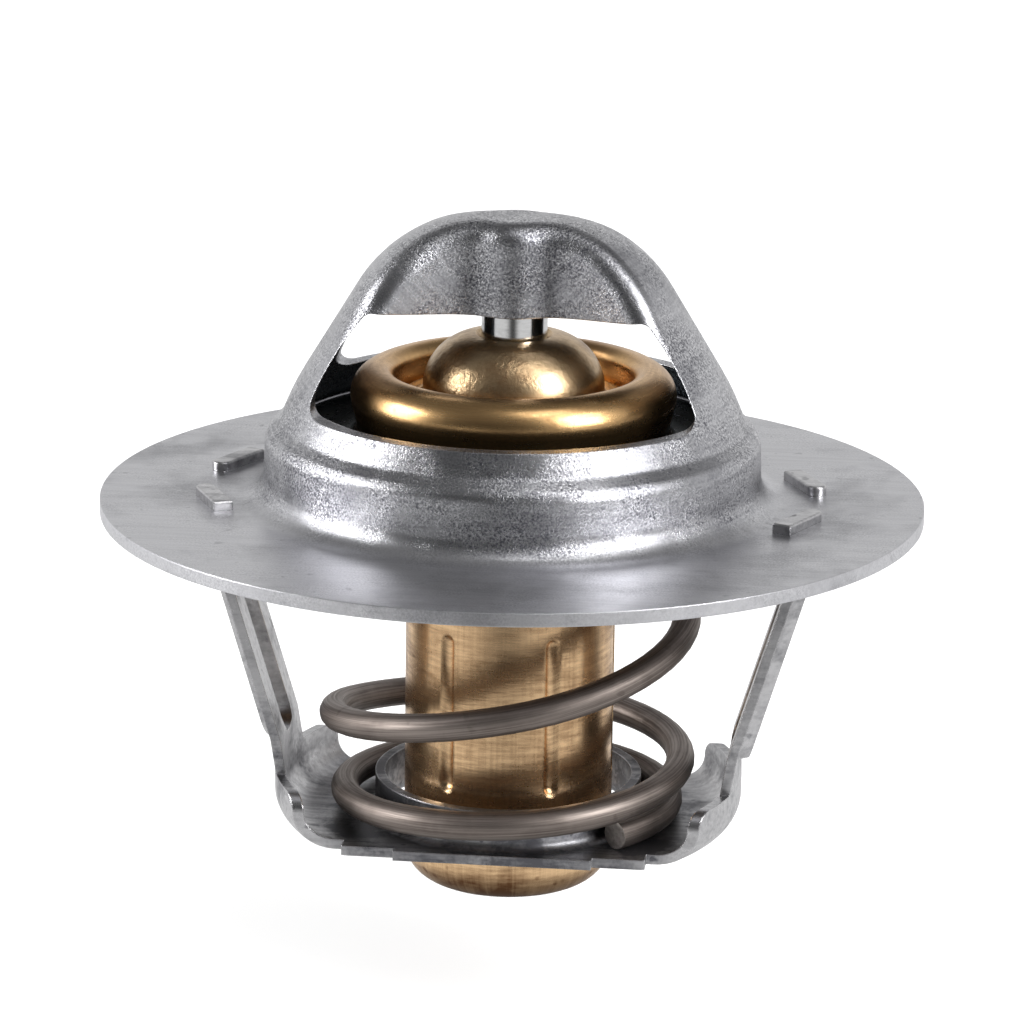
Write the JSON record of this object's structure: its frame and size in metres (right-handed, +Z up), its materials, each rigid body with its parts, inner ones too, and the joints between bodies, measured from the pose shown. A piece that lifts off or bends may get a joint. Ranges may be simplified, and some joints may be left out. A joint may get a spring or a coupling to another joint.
{
  "type": "engine thermostat",
  "caption": "Wax-element coolant thermostat with a flanged sheet cage, a brass poppet valve, a coil spring and a sheet spring frame.",
  "frame": {"origin": "on the axis, in the plane of the flange's underside", "axes": "+Z up through the cage and its bridge; X along the bridge and the frame's arms; Y out through the windows"},
  "size_m": [0.05, 0.05, 0.0416],
  "materials": {
    "cage_steel": "satin",
    "frame_steel": "satin",
    "spring_steel": "satin",
    "brass_sheet": "satin",
    "brass_can": "satin",
    "brass_turned": "turned",
    "piston_steel": "ground",
    "boot_rubber": "matt",
    "wax": "matt",
    "washer_plastic": "matt"
  },
  "bodies": {
    "housing": {"flange_cage": "cage_steel", "spring_frame": "frame_steel", "main_spring": "spring_steel", "piston": "piston_steel"},
    "valve": {"valve_plate": "brass_sheet", "wax_cup": "brass_can", "piston_guide": "brass_turned", "rubber_boot": "boot_rubber", "wax_charge": "wax", "chafe_washer": "washer_plastic"}
  },
  "joints": [
    {"name": "valve_lift", "type": "slide", "parent": "housing", "child": "valve", "axis": [0, 0, -1], "range_m": [0, 0.008], "stiffness_N_per_m": 400, "springref_m": -0.001, "deforming": ["main_spring"]}
  ]
}
